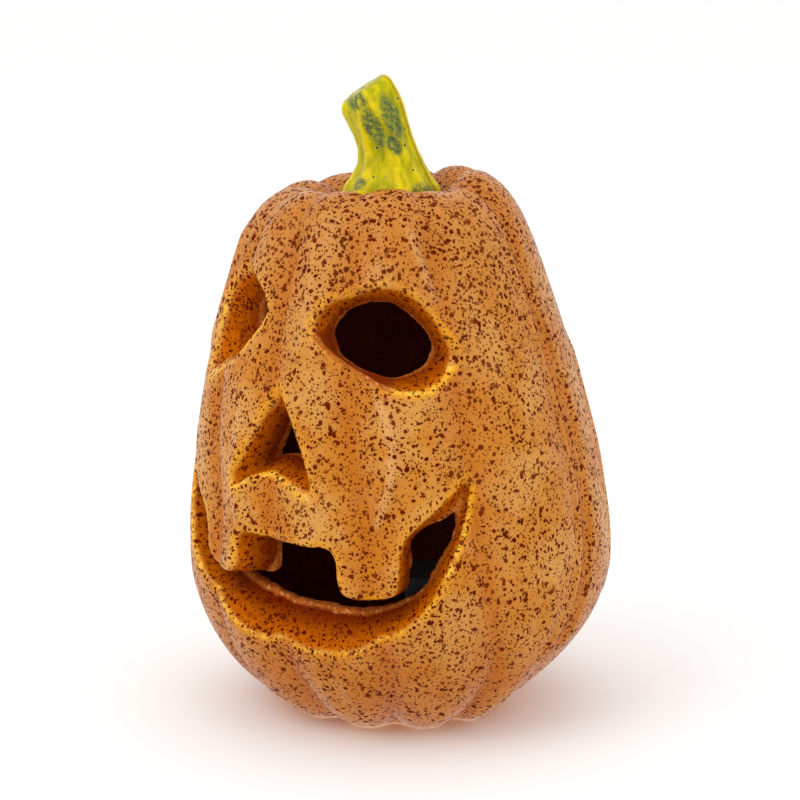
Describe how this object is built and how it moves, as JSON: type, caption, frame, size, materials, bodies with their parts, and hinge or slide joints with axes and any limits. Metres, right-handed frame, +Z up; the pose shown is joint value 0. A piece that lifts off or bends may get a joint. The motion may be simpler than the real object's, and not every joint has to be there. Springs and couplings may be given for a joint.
{
  "type": "ceramic pumpkin lantern",
  "caption": "Hollow ceramic pumpkin lantern with a carved face, a bent stem and a battery light unit that plugs into its base.",
  "frame": {"origin": "middle of the bounding box seen from above, on the table plane; within 0.4 mm of the foot ring's centre", "axes": "+Z up through the stem, -Y out of the face, +X to the right of someone who looks at the face"},
  "size_m": [0.168, 0.166, 0.2546],
  "materials": {
    "glaze_orange": "glossy orange glaze with dense dark brown speckles, pooling yellow on the edges",
    "glaze_green": "glossy yellow-green glaze with blue-green patches and pinholes",
    "plastic_black": "moulded, satin",
    "plastic_grey": "moulded, satin",
    "plastic_frosted": "frosted, translucent",
    "rubber": "matt",
    "steel": "zinc plated",
    "brass": "bright strip",
    "board_green": "solder resist",
    "led_resin": "clear warm resin",
    "battery_sleeve": "plain printed sleeve",
    "wire_red": "insulation",
    "wire_black": "insulation"
  },
  "bodies": {
    "casting": {"pumpkin_body": "glaze_orange", "stem": "glaze_green"},
    "light_unit": {"base_plug": "plastic_black", "seal_ring": "rubber", "battery_box": "plastic_grey", "door_hinge_pin": "steel", "battery_1": "battery_sleeve", "battery_2": "battery_sleeve", "spring_contact": "steel", "plate_contact": "brass", "circuit_board": "board_green", "led_1": "led_resin", "led_2": "led_resin", "led_3": "led_resin", "light_dome": "plastic_frosted", "switch_body": "steel", "wire_red": "wire_red", "wire_black": "wire_black", "box_screw_1": "steel", "box_screw_2": "steel", "board_screw_1": "steel", "board_screw_2": "steel"},
    "battery_door": {"battery_door": "plastic_black", "bridge_contact": "brass"},
    "switch_knob": {"switch_knob": "plastic_black"}
  },
  "joints": [
    {"name": "light_unit_slide", "type": "slide", "parent": "casting", "child": "light_unit", "axis": [0, 0, -1], "range_m": [0, 0.07]},
    {"name": "battery_door_hinge", "type": "hinge", "parent": "light_unit", "child": "battery_door", "pos_m": [0.01509, -0.00529, 0.0023], "axis": [-0.8192, -0.5736, 0], "range_deg": [0, 90]},
    {"name": "switch_slide", "type": "slide", "parent": "light_unit", "child": "switch_knob", "axis": [-0.5736, 0.8192, 0], "range_m": [0, 0.003]}
  ]
}
